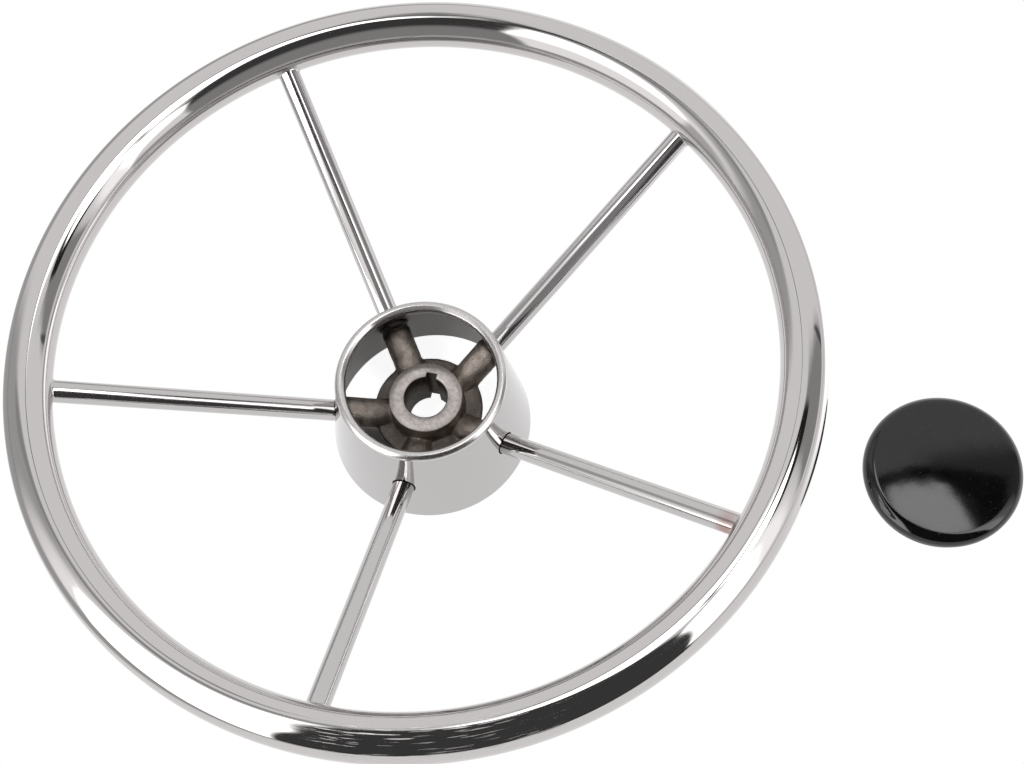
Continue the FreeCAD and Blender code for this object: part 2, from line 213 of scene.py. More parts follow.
def steel(name, colour, roughness, way, line_height, wobble, scuffed=False):
    material, add, place = new_material(name)
    vector, last = way(add, place)
    lines = add(
        "TexNoise", {"Vector": vector, "W": last, "Scale": 1 / (LINE_WIDTH * MM), "Detail": 2.0},
        noise_dimensions="4D",
    )
    rough = add("MapRange", [lines, 0.55, 0.75, roughness, roughness + 0.1])
    if scuffed:
        marks = handling_marks(add, place)
        rough = add("Math", [marks, SCUFF_ROUGHNESS, rough], operation="MULTIPLY_ADD")
    slow = add("TexNoise", {"Vector": place, "Scale": 1 / (RIPPLE * MM), "Detail": 1.0})
    wave = add("Bump", {"Height": slow, "Distance": wobble * MM})
    buffed = add("Bump", {"Height": lines, "Distance": line_height * MM, "Normal": wave})
    look = {"Base Color": tinted(add, place, colour), "Metallic": 1.0, "Roughness": rough, "Normal": buffed}
    add("OutputMaterial", [add("BsdfPrincipled", look)])
    return material


polished = steel("mirror polished tube", STEEL_GREY, 0.04, round_the_ring, 0.003, 0.05, scuffed=True)
polished_cover = steel("mirror polished sheet", "#BAB7B7", 0.05, round_the_ring, 0.003, 0.05)
polished_rod = steel("mirror polished rod", "#C2BFBF", 0.11, along_the_rod, 0.003, 0.05)
buffed_hem = steel("lightly buffed cover", STEEL_GREY, 0.2, round_the_ring, 0.006, 0.05)
satin = steel("spun stainless left dull inside the hub", "#B4B1AF", 0.42, round_the_ring, 0.01, 0.1)
print("steel finishes:", [m.name for m in (polished, polished_cover, polished_rod, buffed_hem, satin)])

# %% [markdown]
# ## Rough cast steel and its machined faces
# The hub casting comes out of a sand mould: a dull brown grey skin with grains of about half a millimetre.
# Deep on the web and at the arms' ends, where they meet the cover's wall, shade is painted into the colour:
# it goes nearly black there by a mask on height and one on distance from the axis. The top face and the bore
# are then cut bright on a lathe, which leaves rings. Here they are 3 mm apart, far coarser than real ones, so
# that they show. The cuts have sharp borders, and so separate materials are simpler there than masks.

# %% Cast steel
GRAIN = 0.6


def mottled(add, place, size, dark, light):
    """Colour that drifts between two tones in blotches of the given size in millimetres."""
    noise = add("TexNoise", {"Vector": place, "Scale": 1 / (size * MM), "Detail": 3.0})
    share = add("MapRange", [noise, 0.3, 0.7])
    return add("Mix", {0: share, 6: linear(dark), 7: linear(light)}, out=2, data_type="RGBA")


def cast_steel():
    material, add, place = new_material("sand cast stainless")
    grain = add("TexNoise", {"Vector": place, "Scale": 1 / (GRAIN * MM), "Detail": 4.0})
    height = add("SeparateXYZ", [place], out=2)
    # painted shade: the web deep in the hub and the arms' ends at the cover's wall are darkened nearly to
    # black
    web = add("MapRange", [height, 19 * MM, 18 * MM, 0, 0.63])
    ends = add("MapRange", [from_axis(add, place), 33 * MM, 36 * MM, 0, 0.85])
    dark = add("Math", [web, ends], operation="MAXIMUM")
    skin = mottled(add, place, 5, "#867C75", "#BBB0A7")
    tone = add("Mix", {0: dark, 6: skin, 7: linear("#2B2827")}, out=2, data_type="RGBA")
    look = {
        "Base Color": tone,
        "Metallic": 1.0,
        "Roughness": add("MapRange", [grain, 0, 1, 0.28, 0.55]),
        "Normal": add("Bump", {"Height": grain, "Distance": 0.45 * MM}),
    }
    add("OutputMaterial", [add("BsdfPrincipled", look)])
    return material


cast = cast_steel()
print("casting skin:", cast.name)

# %% Machined steel
# a wave texture repeats after this much of its scaled place
WAVE = tau / 20
RING_PITCH = pi


def turned_steel(name, dark, light, roughness, fleck_height):
    material, add, place = new_material(name)
    rings = add(
        "TexWave", {"Vector": place, "Scale": WAVE / (RING_PITCH * MM), "Distortion": 1.0}, out=1,
        wave_type="RINGS", rings_direction="Z",
    )
    flecks = add("TexNoise", {"Vector": place, "Scale": 1 / (GRAIN * MM), "Detail": 3.0})
    both = add("Math", [rings, 0.35, flecks], operation="MULTIPLY_ADD")
    look = {
        "Base Color": mottled(add, place, 1.6, dark, light),
        "Metallic": 1.0,
        "Roughness": add("MapRange", [flecks, 0, 1, roughness - 0.1, roughness + 0.14]),
        "Normal": add("Bump", {"Height": both, "Distance": fleck_height * MM}),
    }
    add("OutputMaterial", [add("BsdfPrincipled", look)])
    return material


faced = turned_steel("lathe faced steel", "#A59D9A", "#C1BBB7", 0.48, 0.12)
# the bore and the keyway are given a darker colour than the lathe-cut face
bored = turned_steel("bored steel, darkened with oil", "#5E5652", "#7A726D", 0.4, 0.04)
print("machined faces:", [m.name for m in (faced, bored)])

# %% [markdown]
# ## Black moulded plastic
# The cap is an injection moulding in black ABS from a polished tool. Gloss plastic is nearly black under a
# clear mirror layer; handling leaves faint haze and specks of dust about a third of a millimetre across.

# %% Black gloss plastic
def gloss_plastic():
    material, add, place = new_material("gloss black ABS")
    haze = add("TexNoise", {"Vector": place, "Scale": 1 / (9 * MM), "Detail": 5.0})
    specks = add("TexNoise", {"Vector": place, "Scale": 1 / (0.8 * MM), "Detail": 1.0})
    dust = add("MapRange", [specks, 0.72, 0.82])
    colours = {0: dust, 6: linear("#060607"), 7: linear("#4A4A4C")}
    look = {
        "Base Color": add("Mix", colours, out=2, data_type="RGBA"),
        "Roughness": add("MapRange", [haze, 0, 1, 0.03, 0.13]),
        "IOR": 1.53,
        "Normal": add("Bump", {"Height": haze, "Distance": 0.03 * MM}),
    }
    add("OutputMaterial", [add("BsdfPrincipled", look)])
    return material


black = gloss_plastic()
print("cap material:", black.name)

# %% [markdown]
# ## Running a geometry node tree once
# A tree is hung on a helper object as a modifier, fed through its named inputs and evaluated. Its result is
# copied into a plain mesh, so the finished piece stands without its tree.

# %% Geometry node helpers
def new_tree(name, **inputs):
    """A geometry node tree with named inputs, given by kind, and the function that adds its nodes."""
    tree = bpy.data.node_groups.new(name, "GeometryNodeTree")
    tree.interface.new_socket("Geometry", in_out="OUTPUT", socket_type="NodeSocketGeometry")
    for kind, labels in {"Geometry": ["Geometry"], **inputs, "Material": ["Material"]}.items():
        for label in labels:
            tree.interface.new_socket(label, in_out="INPUT", socket_type="NodeSocket" + kind)
    add = partial(add_node, tree)
    return tree, add, add("NodeGroupInput").node.outputs


def end_tree(add, given, geometry):
    """Realises instances, sets the material and closes the tree."""
    real = add("GeometryNodeRealizeInstances", [geometry])
    painted = add("GeometryNodeSetMaterial", {0: real, "Material": given["Material"]})
    add("NodeGroupOutput", [painted])


def mesh_data(mesh, name):
    """Turns a worked mesh into the data of a piece."""
    made = bpy.data.meshes.new(name)
    mesh.to_mesh(made)
    mesh.free()
    return made


def add_piece(name, mesh):
    piece = bpy.data.objects.new(name, mesh)
    bpy.context.scene.collection.objects.link(piece)
    return piece


def plain_mesh(helper):
    """The evaluated mesh of an object; the object itself is removed."""
    graph = bpy.context.evaluated_depsgraph_get()
    result = bpy.data.meshes.new_from_object(helper.evaluated_get(graph))
    bpy.data.objects.remove(helper)
    return result


def run_tree(tree, name, values, mesh=None):
    """Runs a tree on a mesh; the result is a new object with a plain mesh."""
    helper = add_piece(name + "_helper", mesh or bpy.data.meshes.new(name + "_seed"))
    modifier = helper.modifiers.new("tree", "NODES")
    modifier.node_group = tree
    for item in tree.interface.items_tree:
        if item.in_out == "INPUT" and item.name in values:
            modifier[item.identifier] = values[item.name]
    result = plain_mesh(helper)
    result.name = name
    return add_piece(name, result)


def stand_for(piece, slot_name, *nodes):
    """Lets a finished piece take its solids' place and move with the wheel."""
    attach(piece, "root")
    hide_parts(*nodes)
    for node in nodes:
        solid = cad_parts[node]
        if not solid.material_slots:
            solid.data.materials.append(piece.data.materials[0])
        for place in solid.material_slots:
            place.material = piece.data.materials[0]
    print(f"{piece.name}: {len(piece.data.polygons)} faces, stands for {', '.join(nodes)}")


print("geometry node helpers are ready")

# %% [markdown]
# ## The rim
# A length of 20 mm tube is rolled to a ring and butt welded, and the seam is buffed away. The obvious ways
# are a torus primitive or a bevelled circle curve. A circle swept along a circle in geometry nodes is the
# same rule as the rolling machine's, and the number of faces stays an input. 720 steps round the ring keep
# each facet under a millimetre and a half, so the reflections run smoothly.

# %% Rim
def rim_tree():
    tree, add, given = new_tree(
        "swept_ring", Float=["Ring Radius", "Tube Radius", "Height"], Int=["Ring Steps", "Tube Steps"]
    )
    circles = []
    for part in ("Ring", "Tube"):
        size = {"Resolution": given[part + " Steps"], "Radius": given[part + " Radius"]}
        circles.append(add("GeometryNodeCurvePrimitiveCircle", size))
    tube = add("GeometryNodeCurveToMesh", circles)
    lift = add("CombineXYZ", {"Z": given["Height"]})
    raised = add("GeometryNodeTransform", {0: tube, "Translation": lift})
    smooth = add("GeometryNodeSetShadeSmooth", [raised])
    end_tree(add, given, smooth)
    return tree


rim = run_tree(
    rim_tree(), "rim_tube",
    {
        "Ring Radius": RING_RADIUS * MM, "Tube Radius": TUBE_RADIUS * MM, "Height": RING_HEIGHT * MM,
        "Ring Steps": 720, "Tube Steps": 96, "Material": polished,
    },
)
stand_for(rim, "polished_stainless", "rim")

# %% [markdown]
# ## The spokes
# Each spoke is a 9.5 mm rod, coped to fit the tube, and joined to it by a small weld that is buffed into a
# smooth hollow. Rods and tube could be joined by a boolean and bevelled, but that leaves ragged faces exactly
# where the reflections bend most. Here each line along the rod is followed until it meets the tube, and a
# small curve that starts along the rod and ends along the tube makes the hollow. Its last points dip into the
# tube, so that no gap can show. All distances along a rod are counted from the wheel's axis.

# %% Where a line meets the rim
ROD_STEPS = 72
WELD_STEPS = 10
WELD_RADIUS = 1.2
SOCKET_FLOOR = 38.5
MIDDLE = 78.5
WALK_START = 120.0
FAR_END = RING_RADIUS / cos(DISH) - 6
WELD_LEAD = 2.0
TOE_REACH = 0.2
TOE_DEPTH = 0.5
TOUCH_GAP = 1e-5


def off_tube(point):
    """Distance of a point from the rim's skin, and the skin's outward direction there."""
    flat = hypot(point.x, point.y)
    out = Vector((point.x / flat, point.y / flat, 0.0))
    arm = out * (flat - RING_RADIUS) + Vector((0.0, 0.0, point.z - RING_HEIGHT))
    return arm.length - TUBE_RADIUS, arm.normalized()


def meet_tube(point, direction):
    """Walks along a direction until it touches the rim's skin."""
    while True:
        gap, skin = off_tube(point)
        if gap < TOUCH_GAP:
            return point, skin
        point = point + direction * gap


print(f"a rod's axis starts {off_tube(Vector((0.0, 1.0, APEX)))[0]:.0f} mm from the rim's skin")


# %% One spoke, pointing along X
def spoke_mesh():
    along = Vector((cos(DISH), 0.0, sin(DISH)))
    above = Vector((-sin(DISH), 0.0, cos(DISH)))
    aside = along.cross(above)
    foot = Vector((0.0, 0.0, APEX))
    mesh = bmesh.new()
    rings = []
    for step in range(ROD_STEPS):
        turn = tau * step / ROD_STEPS
        outward = above * cos(turn) + aside * sin(turn)
        line = foot + outward * ROD_RADIUS
        touch, skin = meet_tube(line + along * WALK_START, along)
        half_gap = (pi - acos(max(-1.0, min(1.0, outward.dot(skin))))) / 2
        reach = WELD_RADIUS / tan(half_gap)
        sideways = (outward - skin * outward.dot(skin)).normalized()
        last = touch + sideways * reach
        gap, skin_there = off_tube(last)
        last -= skin_there * gap
        first = touch - along * reach
        points = [line + along * SOCKET_FLOOR, line + along * MIDDLE, first - along * WELD_LEAD]
        for k in range(WELD_STEPS + 1):
            t = k / WELD_STEPS
            points.append(first * (1 - t) ** 2 + touch * 2 * t * (1 - t) + last * t**2)
        points.append(last + sideways * TOE_REACH - skin_there * TOE_DEPTH)
        rings.append([mesh.verts.new(p * MM) for p in points])
    far_end = mesh.verts.new((foot + along * FAR_END) * MM)
    near_end = mesh.verts.new((foot + along * SOCKET_FLOOR) * MM)
    for ring, after in zip(rings, rings[1:] + rings[:1]):
        for k in range(len(ring) - 1):
            mesh.faces.new((ring[k], ring[k + 1], after[k + 1], after[k]))
        mesh.faces.new((ring[-1], far_end, after[-1]))
        mesh.faces.new((near_end, ring[0], after[0]))
    made = end_mesh(mesh, "spoke_pattern")
    made.set_sharp_from_angle(angle=radians(50))
    return made


def end_mesh(mesh, name):
    """Turns a worked mesh into a smooth shaded one whose faces all point outwards."""
    bmesh.ops.recalc_face_normals(mesh, faces=mesh.faces)
    made = mesh_data(mesh, name)
    made.shade_smooth()
    return made


one_spoke = spoke_mesh()
print(f"one spoke has {len(one_spoke.polygons)} faces")

# %% [markdown]
# The five rods are alike and stand 72 degrees apart, the first at six o'clock. A tree that turns a copy to a
# numbered place round the axis is the welder's jig.

# %% Five spokes round the hub
def turned_by_number(add, given, number):
    """Rotation about Z to the numbered one of Count places."""
    step = add("Math", [tau, given["Count"]], operation="DIVIDE")
    turn = add("Math", [step, number, given["First Angle"]], operation="MULTIPLY_ADD")
    return add("CombineXYZ", {"Z": turn})


def jig_tree():
    tree, add, given = new_tree("place_round_axis", Int=["Place", "Count"], Float=["First Angle"])
    copy = add("GeometryNodeGeometryToInstance", [given["Geometry"]])
    angle = turned_by_number(add, given, given["Place"])
    turned = add("GeometryNodeRotateInstances", {"Instances": copy, "Rotation": angle})
    end_tree(add, given, turned)
    return tree


jig = jig_tree()
for place in range(SPOKES):
    values = {"Place": place, "Count": SPOKES, "First Angle": FIRST_SPOKE, "Material": polished_rod}
    spoke = run_tree(jig, f"spoke_rod_{place + 1}", values, one_spoke)
    stand_for(spoke, "polished_stainless", f"spoke_{place + 1}")

# %% [markdown]
# ## Turned pieces
# The hub cover and the cap are round, so each is one outline turned round an axis. Smooth shading guesses
# directions at the corners from the faces next to them, which bends reflections on long faces beside small
# curves. The outline knows its true direction everywhere, so that is stored with the mesh instead.

# %% Outline helpers
def outline_arc(centre, radius, start, end, steps):
    """Points on an arc with their outward directions, angles in degrees."""
    rows = []
    for k in range(steps + 1):
        turn = radians(start + (end - start) * k / steps)
        side = Vector((cos(turn), sin(turn)))
        rows.append((Vector(centre) + side * abs(radius), side if radius > 0 else -side))
    return rows


def outline_point(x, y):
    return [(Vector((x, y)), Vector((1.0, 0.0)))]


def outline_parts(parts):
    """Joins points and arcs into pieces with points and directions at both ends."""
    pieces = []
    for before, after in zip(parts, parts[1:] + parts[:1]):
        for (p, n), (q, m) in zip(before, before[1:]):
            pieces.append((p, q, n, m))
        start, end = before[-1][0], after[0][0]
        if (end - start).length > 1e-6:
            run = (end - start).normalized()
            side = Vector((run.y, -run.x))
            pieces.append((start, end, side, side))
    return pieces


def polygon_outline(points):
    return outline_parts([outline_point(*p) for p in points])


print("outline helpers are ready")


# %% Lathe
def lathe(name, pieces, steps, centre=(0.0, 0.0)):
    """Turns the outline round the axis; the right-hand side of its pieces faces outwards."""
    mesh = bmesh.new()
    columns = {}

    def column(point):
        key = (round(point.x, 5), round(point.y, 5))
        if key not in columns:
            columns[key] = []
            for k in range(1 if point.x < 1e-6 else steps):
                turn = tau * k / steps
                x, y = centre[0] + point.x * cos(turn), centre[1] + point.x * sin(turn)
                columns[key].append(mesh.verts.new((x * MM, y * MM, point.y * MM)))
        return columns[key]

    for start, end, _, _ in pieces:
        low, high = column(start), column(end)
        for k in range(steps):
            after = k + 1
            ring = [low[k % len(low)], low[after % len(low)], high[after % len(high)], high[k % len(high)]]
            corners = list(dict.fromkeys(ring))
            if len(corners) > 2:
                mesh.faces.new(corners)
    return end_mesh(mesh, name)


# %% True directions
FITS = 0.8


def true_directions(mesh, pieces, centre=(0.0, 0.0), extra=None):
    """Gives each face's corners the outline's own direction; extra handles faces off the outline."""
    count = len(mesh.loops)
    verts = np.zeros(len(mesh.vertices) * 3)
    mesh.vertices.foreach_get("co", verts)
    verts = verts.reshape(-1, 3) / MM - np.array([*centre, 0.0])
    corner = np.zeros(count, int)
    mesh.loops.foreach_get("vertex_index", corner)
    face_of = np.repeat(np.arange(len(mesh.polygons)), [p.loop_total for p in mesh.polygons])
    face_side = np.array([p.normal for p in mesh.polygons])[face_of]
    at = verts[corner]
    flat = np.hypot(at[:, 0], at[:, 1])
    out = at[:, :2] / np.maximum(flat, 1e-9)[:, None]
    best = face_side.copy()
    score = np.full(count, FITS)
    for start, end, first, last in pieces:
        run = np.array(end - start)
        t = ((flat - start.x) * run[0] + (at[:, 2] - start.y) * run[1]) / run.dot(run)
        miss = np.hypot(flat - start.x - t * run[0], at[:, 2] - start.y - t * run[1])
        t = np.clip(t, 0, 1)[:, None]
        side = np.array(first) * (1 - t) + np.array(last) * t
        side /= np.linalg.norm(side, axis=1)[:, None]
        way = np.column_stack([out * side[:, :1], side[:, 1:]])
        fit = (way * face_side).sum(1)
        close = (miss < 0.01) & (fit > score)
        best[close] = way[close]
        score[close] = fit[close]
    if extra:
        best = extra(at, face_side, best, score)
    mesh.normals_split_custom_set(best.tolist())


print(f"a direction is taken where it fits the face better than {FITS}")

# %% [markdown]
# ## The hub cover
# A cone of sheet 1.2 mm thick, spun on a former, with its upper edge curled inwards and down to a hem. Five
# holes let the rods through with half a millimetre of air all round. The outline below runs up the outside,
# over the hem, back round its inside and down the inner wall. Its small radii at the cut edges are there
# because a real sheet edge always catches a thin line of light.

# %% Hub cover outline
HEM_RADIUS = 2.4
HEM_TILT = 20.0
HEM_EDGE = 41.3
EDGE_ROUND = 0.25
hem_height = SHELL_TOP - HEM_RADIUS
hem_x = SHELL_BASE - SLOPE * hem_height - HEM_RADIUS / cos(SHELL_LEAN)
lean = degrees(SHELL_LEAN)
tilt = radians(HEM_TILT)
leg_start = Vector((hem_x - HEM_RADIUS * cos(tilt), hem_height - HEM_RADIUS * sin(tilt)))
leg_way = Vector((sin(tilt), -cos(tilt)))
leg_side = Vector((cos(tilt), sin(tilt)))
leg_tip = leg_start + leg_way * ((leg_start.y - HEM_EDGE) / leg_way.y * -1)
tip_round = leg_tip + leg_side * EDGE_ROUND - leg_way * EDGE_ROUND
tip_inner_round = leg_tip + leg_side * (SHELL_WALL - EDGE_ROUND) - leg_way * EDGE_ROUND
base_in = SHELL_BASE - SHELL_WALL / cos(SHELL_LEAN)
base_reach = EDGE_ROUND * 1.15
cover_outline = outline_parts(
    [
        outline_arc((SHELL_BASE - base_reach, EDGE_ROUND), EDGE_ROUND, -90, lean, 5),
        outline_arc((hem_x, hem_height), HEM_RADIUS, lean, 180 + HEM_TILT, 40),
        outline_arc(tip_round, EDGE_ROUND, 180 + HEM_TILT, 270 + HEM_TILT, 5),
        outline_arc(tip_inner_round, EDGE_ROUND, 270 + HEM_TILT, 360 + HEM_TILT, 5),
        outline_arc((hem_x, hem_height), -(HEM_RADIUS - SHELL_WALL), 180 + HEM_TILT, lean, 24),
        outline_arc((base_in + base_reach, EDGE_ROUND), EDGE_ROUND, 180 + lean, 270, 5),
    ]
)
print(f"the hem curls round a centre {hem_x:.2f} mm from the axis; {len(cover_outline)} outline pieces")

# %% [markdown]
# The five holes are one drill, repeated by a tree and taken away from the cover. The drill is a cylinder
# along a rod's axis. The tree places it on five points that share the axis, each turned by its number.

# %% Drill for the holes
def drill_tree():
    sizes = ["First Angle", "Hole Radius", "Dish Angle", "Apex Height", "Distance", "Depth"]
    tree, add, given = new_tree("drill_round_axis", Int=["Count"], Float=sizes)
    drill_size = {"Vertices": 96, "Radius": given["Hole Radius"], "Depth": given["Depth"]}
    drill = add("GeometryNodeMeshCylinder", drill_size)
    dish, distance = given["Dish Angle"], given["Distance"]
    tilt = add("Math", [pi / 2, dish], operation="SUBTRACT")
    lay = add("CombineXYZ", {"Y": tilt})
    cosine = add("Math", [dish], operation="COSINE")
    sine = add("Math", [dish], operation="SINE")
    x = add("Math", [cosine, distance], operation="MULTIPLY")
    z = add("Math", [sine, distance, given["Apex Height"]], operation="MULTIPLY_ADD")
    move = add("CombineXYZ", {"X": x, "Z": z})
    laid = add("GeometryNodeTransform", {0: drill, "Translation": move, "Rotation": lay})
    points = add("GeometryNodePoints", {"Count": given["Count"]})
    angle = turned_by_number(add, given, add("GeometryNodeInputIndex"))
    drills = add("GeometryNodeInstanceOnPoints", {"Points": points, "Instance": laid, "Rotation": angle})
    cut = add(
        "GeometryNodeMeshBoolean", {"Mesh 1": given["Geometry"], "Mesh 2": drills},
        operation="DIFFERENCE", solver="EXACT",
    )
    end_tree(add, given, cut)
    return tree


HOLE_RADIUS = ROD_RADIUS + 0.5
HOLE_PLACE = 47.0
DRILL_LENGTH = 20.0
cover = run_tree(
    drill_tree(), "hub_cover",
    {
        "Count": SPOKES, "First Angle": FIRST_SPOKE, "Hole Radius": HOLE_RADIUS * MM, "Dish Angle": DISH,
        "Apex Height": APEX * MM, "Distance": HOLE_PLACE * MM, "Depth": DRILL_LENGTH * MM,
        "Material": polished_cover,
    },
    lathe("cover_blank", cover_outline, steps=288),
)
print(f"the drilled cover has {len(cover.data.polygons)} faces")

# %% [markdown]
# The polisher's wheel reaches the outside of the cover and, less well, the hem, but not the inside. A face's
# depth below the outer cone tells which of the three it belongs to.

# %% Directions and finishes of the cover
def hole_directions(at, face_side, best, score):
    """Faces inside a drilled hole point at the rod's axis."""
    for place in range(SPOKES):
        turn = FIRST_SPOKE + place * tau / SPOKES
        axis = np.array([cos(DISH) * cos(turn), cos(DISH) * sin(turn), sin(DISH)])
        arm = at - np.array([0.0, 0.0, APEX])
        across = arm - (arm @ axis)[:, None] * axis
        far = np.linalg.norm(across, axis=1)
        way = -across / np.maximum(far, 1e-9)[:, None]
        fit = (way * face_side).sum(1)
        inside = (np.abs(far - HOLE_RADIUS) < 0.05) & (fit > np.maximum(score, FITS)) & ((arm @ axis) > 0)
        best[inside] = way[inside]
        score[inside] = fit[inside]
    return best


def give_finishes(piece, finishes, choose):
    """Sets the materials of a piece; choose gives the number of a face's finish."""
    piece.data.materials.clear()
    for finish in finishes:
        piece.data.materials.append(finish)
    count = [0] * len(finishes)
    for face in piece.data.polygons:
        face.material_index = choose(face, face.center / MM)
        count[face.material_index] += 1
    print(f"faces of {piece.name} by finish: {count}")


def cover_finish(face, middle):
    depth = SHELL_BASE - SLOPE * middle.z - hypot(middle.x, middle.y)
    on_hem = middle.z > hem_height or depth > SHELL_WALL * 1.2
    return 2 if on_hem else 1 if depth > SHELL_WALL * 0.9 else 0


true_directions(cover.data, cover_outline, extra=hole_directions)
give_finishes(cover, (polished_cover, satin, buffed_hem), cover_finish)
stand_for(cover, "polished_stainless", "hub_shell")

# %% [markdown]
# ## The casting in the hub
# Boss, web and five arms come out of the mould as one lump whose corners are all softly rounded. The solid's
# own mesh gives its form; a voxel remesh turns it into an even skin, a few rounds of blurring soften its
# corners as sand does, and a fine noise gives the grainy face. The boss is cast longer and without its bore,
# as a real blank is, and each arm is a full 13 mm round from the boss into its flare: those forms are fused
# to the mesh before the remesh. The faces and the bore are cut after that, and so they stay crisp.

# %% Casting skin
def skin_tree():
    sizes = ["Grain Size", "Grain Height", "Lump Size", "Lump Height"]
    tree, add, given = new_tree("cast_skin", Int=["Blur Rounds"], Float=sizes)
    place = add("GeometryNodeInputPosition")
    soft = add(
        "GeometryNodeBlurAttribute", {"Iterations": given["Blur Rounds"]}, data_type="FLOAT_VECTOR"
    ).node
    tree.links.new(place, next(s for s in soft.inputs if s.enabled and s.type == "VECTOR"))
    softened_place = next(s for s in soft.outputs if s.enabled)
    softened = add("GeometryNodeSetPosition", {0: given["Geometry"], "Position": softened_place})
    heights = []
    for part in ("Grain", "Lump"):
        scale = add("Math", [1.0, given[part + " Size"]], operation="DIVIDE")
        noise = add("TexNoise", {"Scale": scale, "Detail": 1.0})
        level = add("Math", [noise, 0.5], operation="SUBTRACT")
        height = given[part + " Height"]
        heights.append(add("Math", [level, height], operation="MULTIPLY"))
    total = add("Math", heights, operation="ADD")
    outward = add("GeometryNodeInputNormal")
    push = add("VectorMath", {0: outward, "Scale": total}, operation="SCALE")
    rough = add("GeometryNodeSetPosition", {0: softened, "Offset": push})
    smooth = add("GeometryNodeSetShadeSmooth", [rough])
    end_tree(add, given, smooth)
    return tree


casting_skin = skin_tree()
print(f"the skin's tree has {len(casting_skin.nodes)} nodes")

# %% Riser and arms fused to the solid's mesh
BOSS_RADIUS = 16.5
RISER = 1.6
ARM_RADIUS = 6.5
VOXEL = 0.42
low, high = BOSS_BASE - RISER, BOSS_TOP + RISER
riser_outline = [(0, low), (BOSS_RADIUS, low), (BOSS_RADIUS, high), (0, high)]
# distance from the arm's own axis, then along it
arm_outline = [(0, 15), (ARM_RADIUS, 15), (ARM_RADIUS, 40.5), (ARM_RADIUS + 0.3, 42), (0, 42.4)]


def arm_core(place):
    """A full round arm from the boss into its flare at the cover's wall."""
    core = lathe(f"arm_core_{place}", polygon_outline(arm_outline), steps=72)
    turn = Matrix.Rotation(FIRST_SPOKE + place * tau / SPOKES, 4, "Z")
    core.transform(Matrix.Translation((0, 0, APEX * MM)) @ turn @ Matrix.Rotation(pi / 2 - DISH, 4, "Y"))
    return core


def remeshed_copy(node, extras):
    """An even voxel skin over a solid's mesh with extra meshes fused to it."""
    mesh = bmesh.new()
    mesh.from_mesh(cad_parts[node].data)
    bmesh.ops.remove_doubles(mesh, verts=mesh.verts, dist=1e-6)
    for extra in extras:
        mesh.from_mesh(extra)
    helper = add_piece(node + "_remesh", mesh_data(mesh, node + "_copy"))
    remesh = helper.modifiers.new("skin", "REMESH")
    remesh.mode = "VOXEL"
    remesh.voxel_size = VOXEL * MM
    return plain_mesh(helper)


riser = lathe("riser", polygon_outline(riser_outline), steps=144)
fused = [riser] + [arm_core(place) for place in range(SPOKES)]
casting = run_tree(
    casting_skin, "hub_casting",
    {
        "Blur Rounds": 6, "Grain Size": 1.1 * MM, "Grain Height": 0.2 * MM, "Lump Size": 5 * MM,
        "Lump Height": 0.2 * MM, "Material": cast,
    },
    remeshed_copy("hub_spider", fused),
)
print(f"the casting's skin has {len(casting.data.polygons)} faces")

# %% [markdown]
# The machinist faces the boss, bores it with a small chamfer at each end, and broaches the keyway. Closed
# cutters are taken away from the skin. The keyway's cutter is a plain box because the slot is one.

# %% Machined cuts
CHAMFER = 0.4
KEY_HALF = 2.5
KEY_TOP = 11.925
EDGE_BREAK = 0.35
CLEAR = 3.0
TOOL_RADIUS = 24.0
TOOL_TOP = 36.0
KEY_START = (4.0, 1.0)
top, bottom = BOSS_TOP, BOSS_BASE


def cut_away(piece, tools):
    """The piece as a new object without the tools' volume; the tools are removed."""
    name = piece.name
    for tool in tools:
        cut = piece.modifiers.new("cut", "BOOLEAN")
        cut.operation = "DIFFERENCE"
        cut.solver = "EXACT"
        cut.object = tool
    result = plain_mesh(piece)
    for tool in tools:
        bpy.data.objects.remove(tool)
    return add_piece(name, result)


def box_mesh(name, low, high):
    mesh = bmesh.new()
    bmesh.ops.create_cube(mesh, size=1.0)
    for vert in mesh.verts:
        vert.co = Vector([low[i] if vert.co[i] < 0 else high[i] for i in range(3)]) * MM
    return mesh_data(mesh, name)


slope_foot = top - 3.35
profiles = {
    "face_tool": [
        (0, top), (BOSS_RADIUS - EDGE_BREAK, top), (BOSS_RADIUS + CLEAR, slope_foot),
        (TOOL_RADIUS, slope_foot), (TOOL_RADIUS, TOOL_TOP), (0, TOOL_TOP),
    ],
    "base_tool": [(0, bottom - 4), (TOOL_RADIUS, bottom - 4), (TOOL_RADIUS, bottom), (0, bottom)],
    "bore_tool": [
        (0, bottom - CLEAR), (BORE_RADIUS + CHAMFER + CLEAR, bottom - CLEAR), (BORE_RADIUS, bottom + CHAMFER),
        (BORE_RADIUS, top - CHAMFER), (BORE_RADIUS + CHAMFER + CLEAR, top + CLEAR), (0, top + CLEAR),
    ],
}
tools = [add_piece(name, lathe(name, polygon_outline(points), 144)) for name, points in profiles.items()]
key_box = box_mesh("key_tool", (-KEY_HALF, *KEY_START), (KEY_HALF, KEY_TOP, TOOL_TOP))
casting = cut_away(casting, tools + [add_piece("key_tool", key_box)])
print(f"the machined casting has {len(casting.data.polygons)} faces")


# %% Finishes of the casting
def casting_finish(face, middle):
    far = hypot(middle.x, middle.y)
    level_cut = far < BOSS_RADIUS + 1 and min(abs(middle.z - top), abs(middle.z - bottom)) < 0.01
    in_key = abs(middle.x) < KEY_HALF + 0.02 and 0 < middle.y < KEY_TOP + 0.02
    in_bore = far < BORE_RADIUS + CHAMFER + 0.05
    broken_edge = -EDGE_BREAK < far - BOSS_RADIUS < 1 and middle.z > top - 2 * EDGE_BREAK
    face.use_smooth = not level_cut and not in_key
    return 1 if level_cut or broken_edge else 2 if in_bore or in_key else 0


give_finishes(casting, (cast, faced, bored), casting_finish)
casting.data.set_sharp_from_angle(angle=radians(55))
stand_for(casting, "cast_steel", "hub_spider")

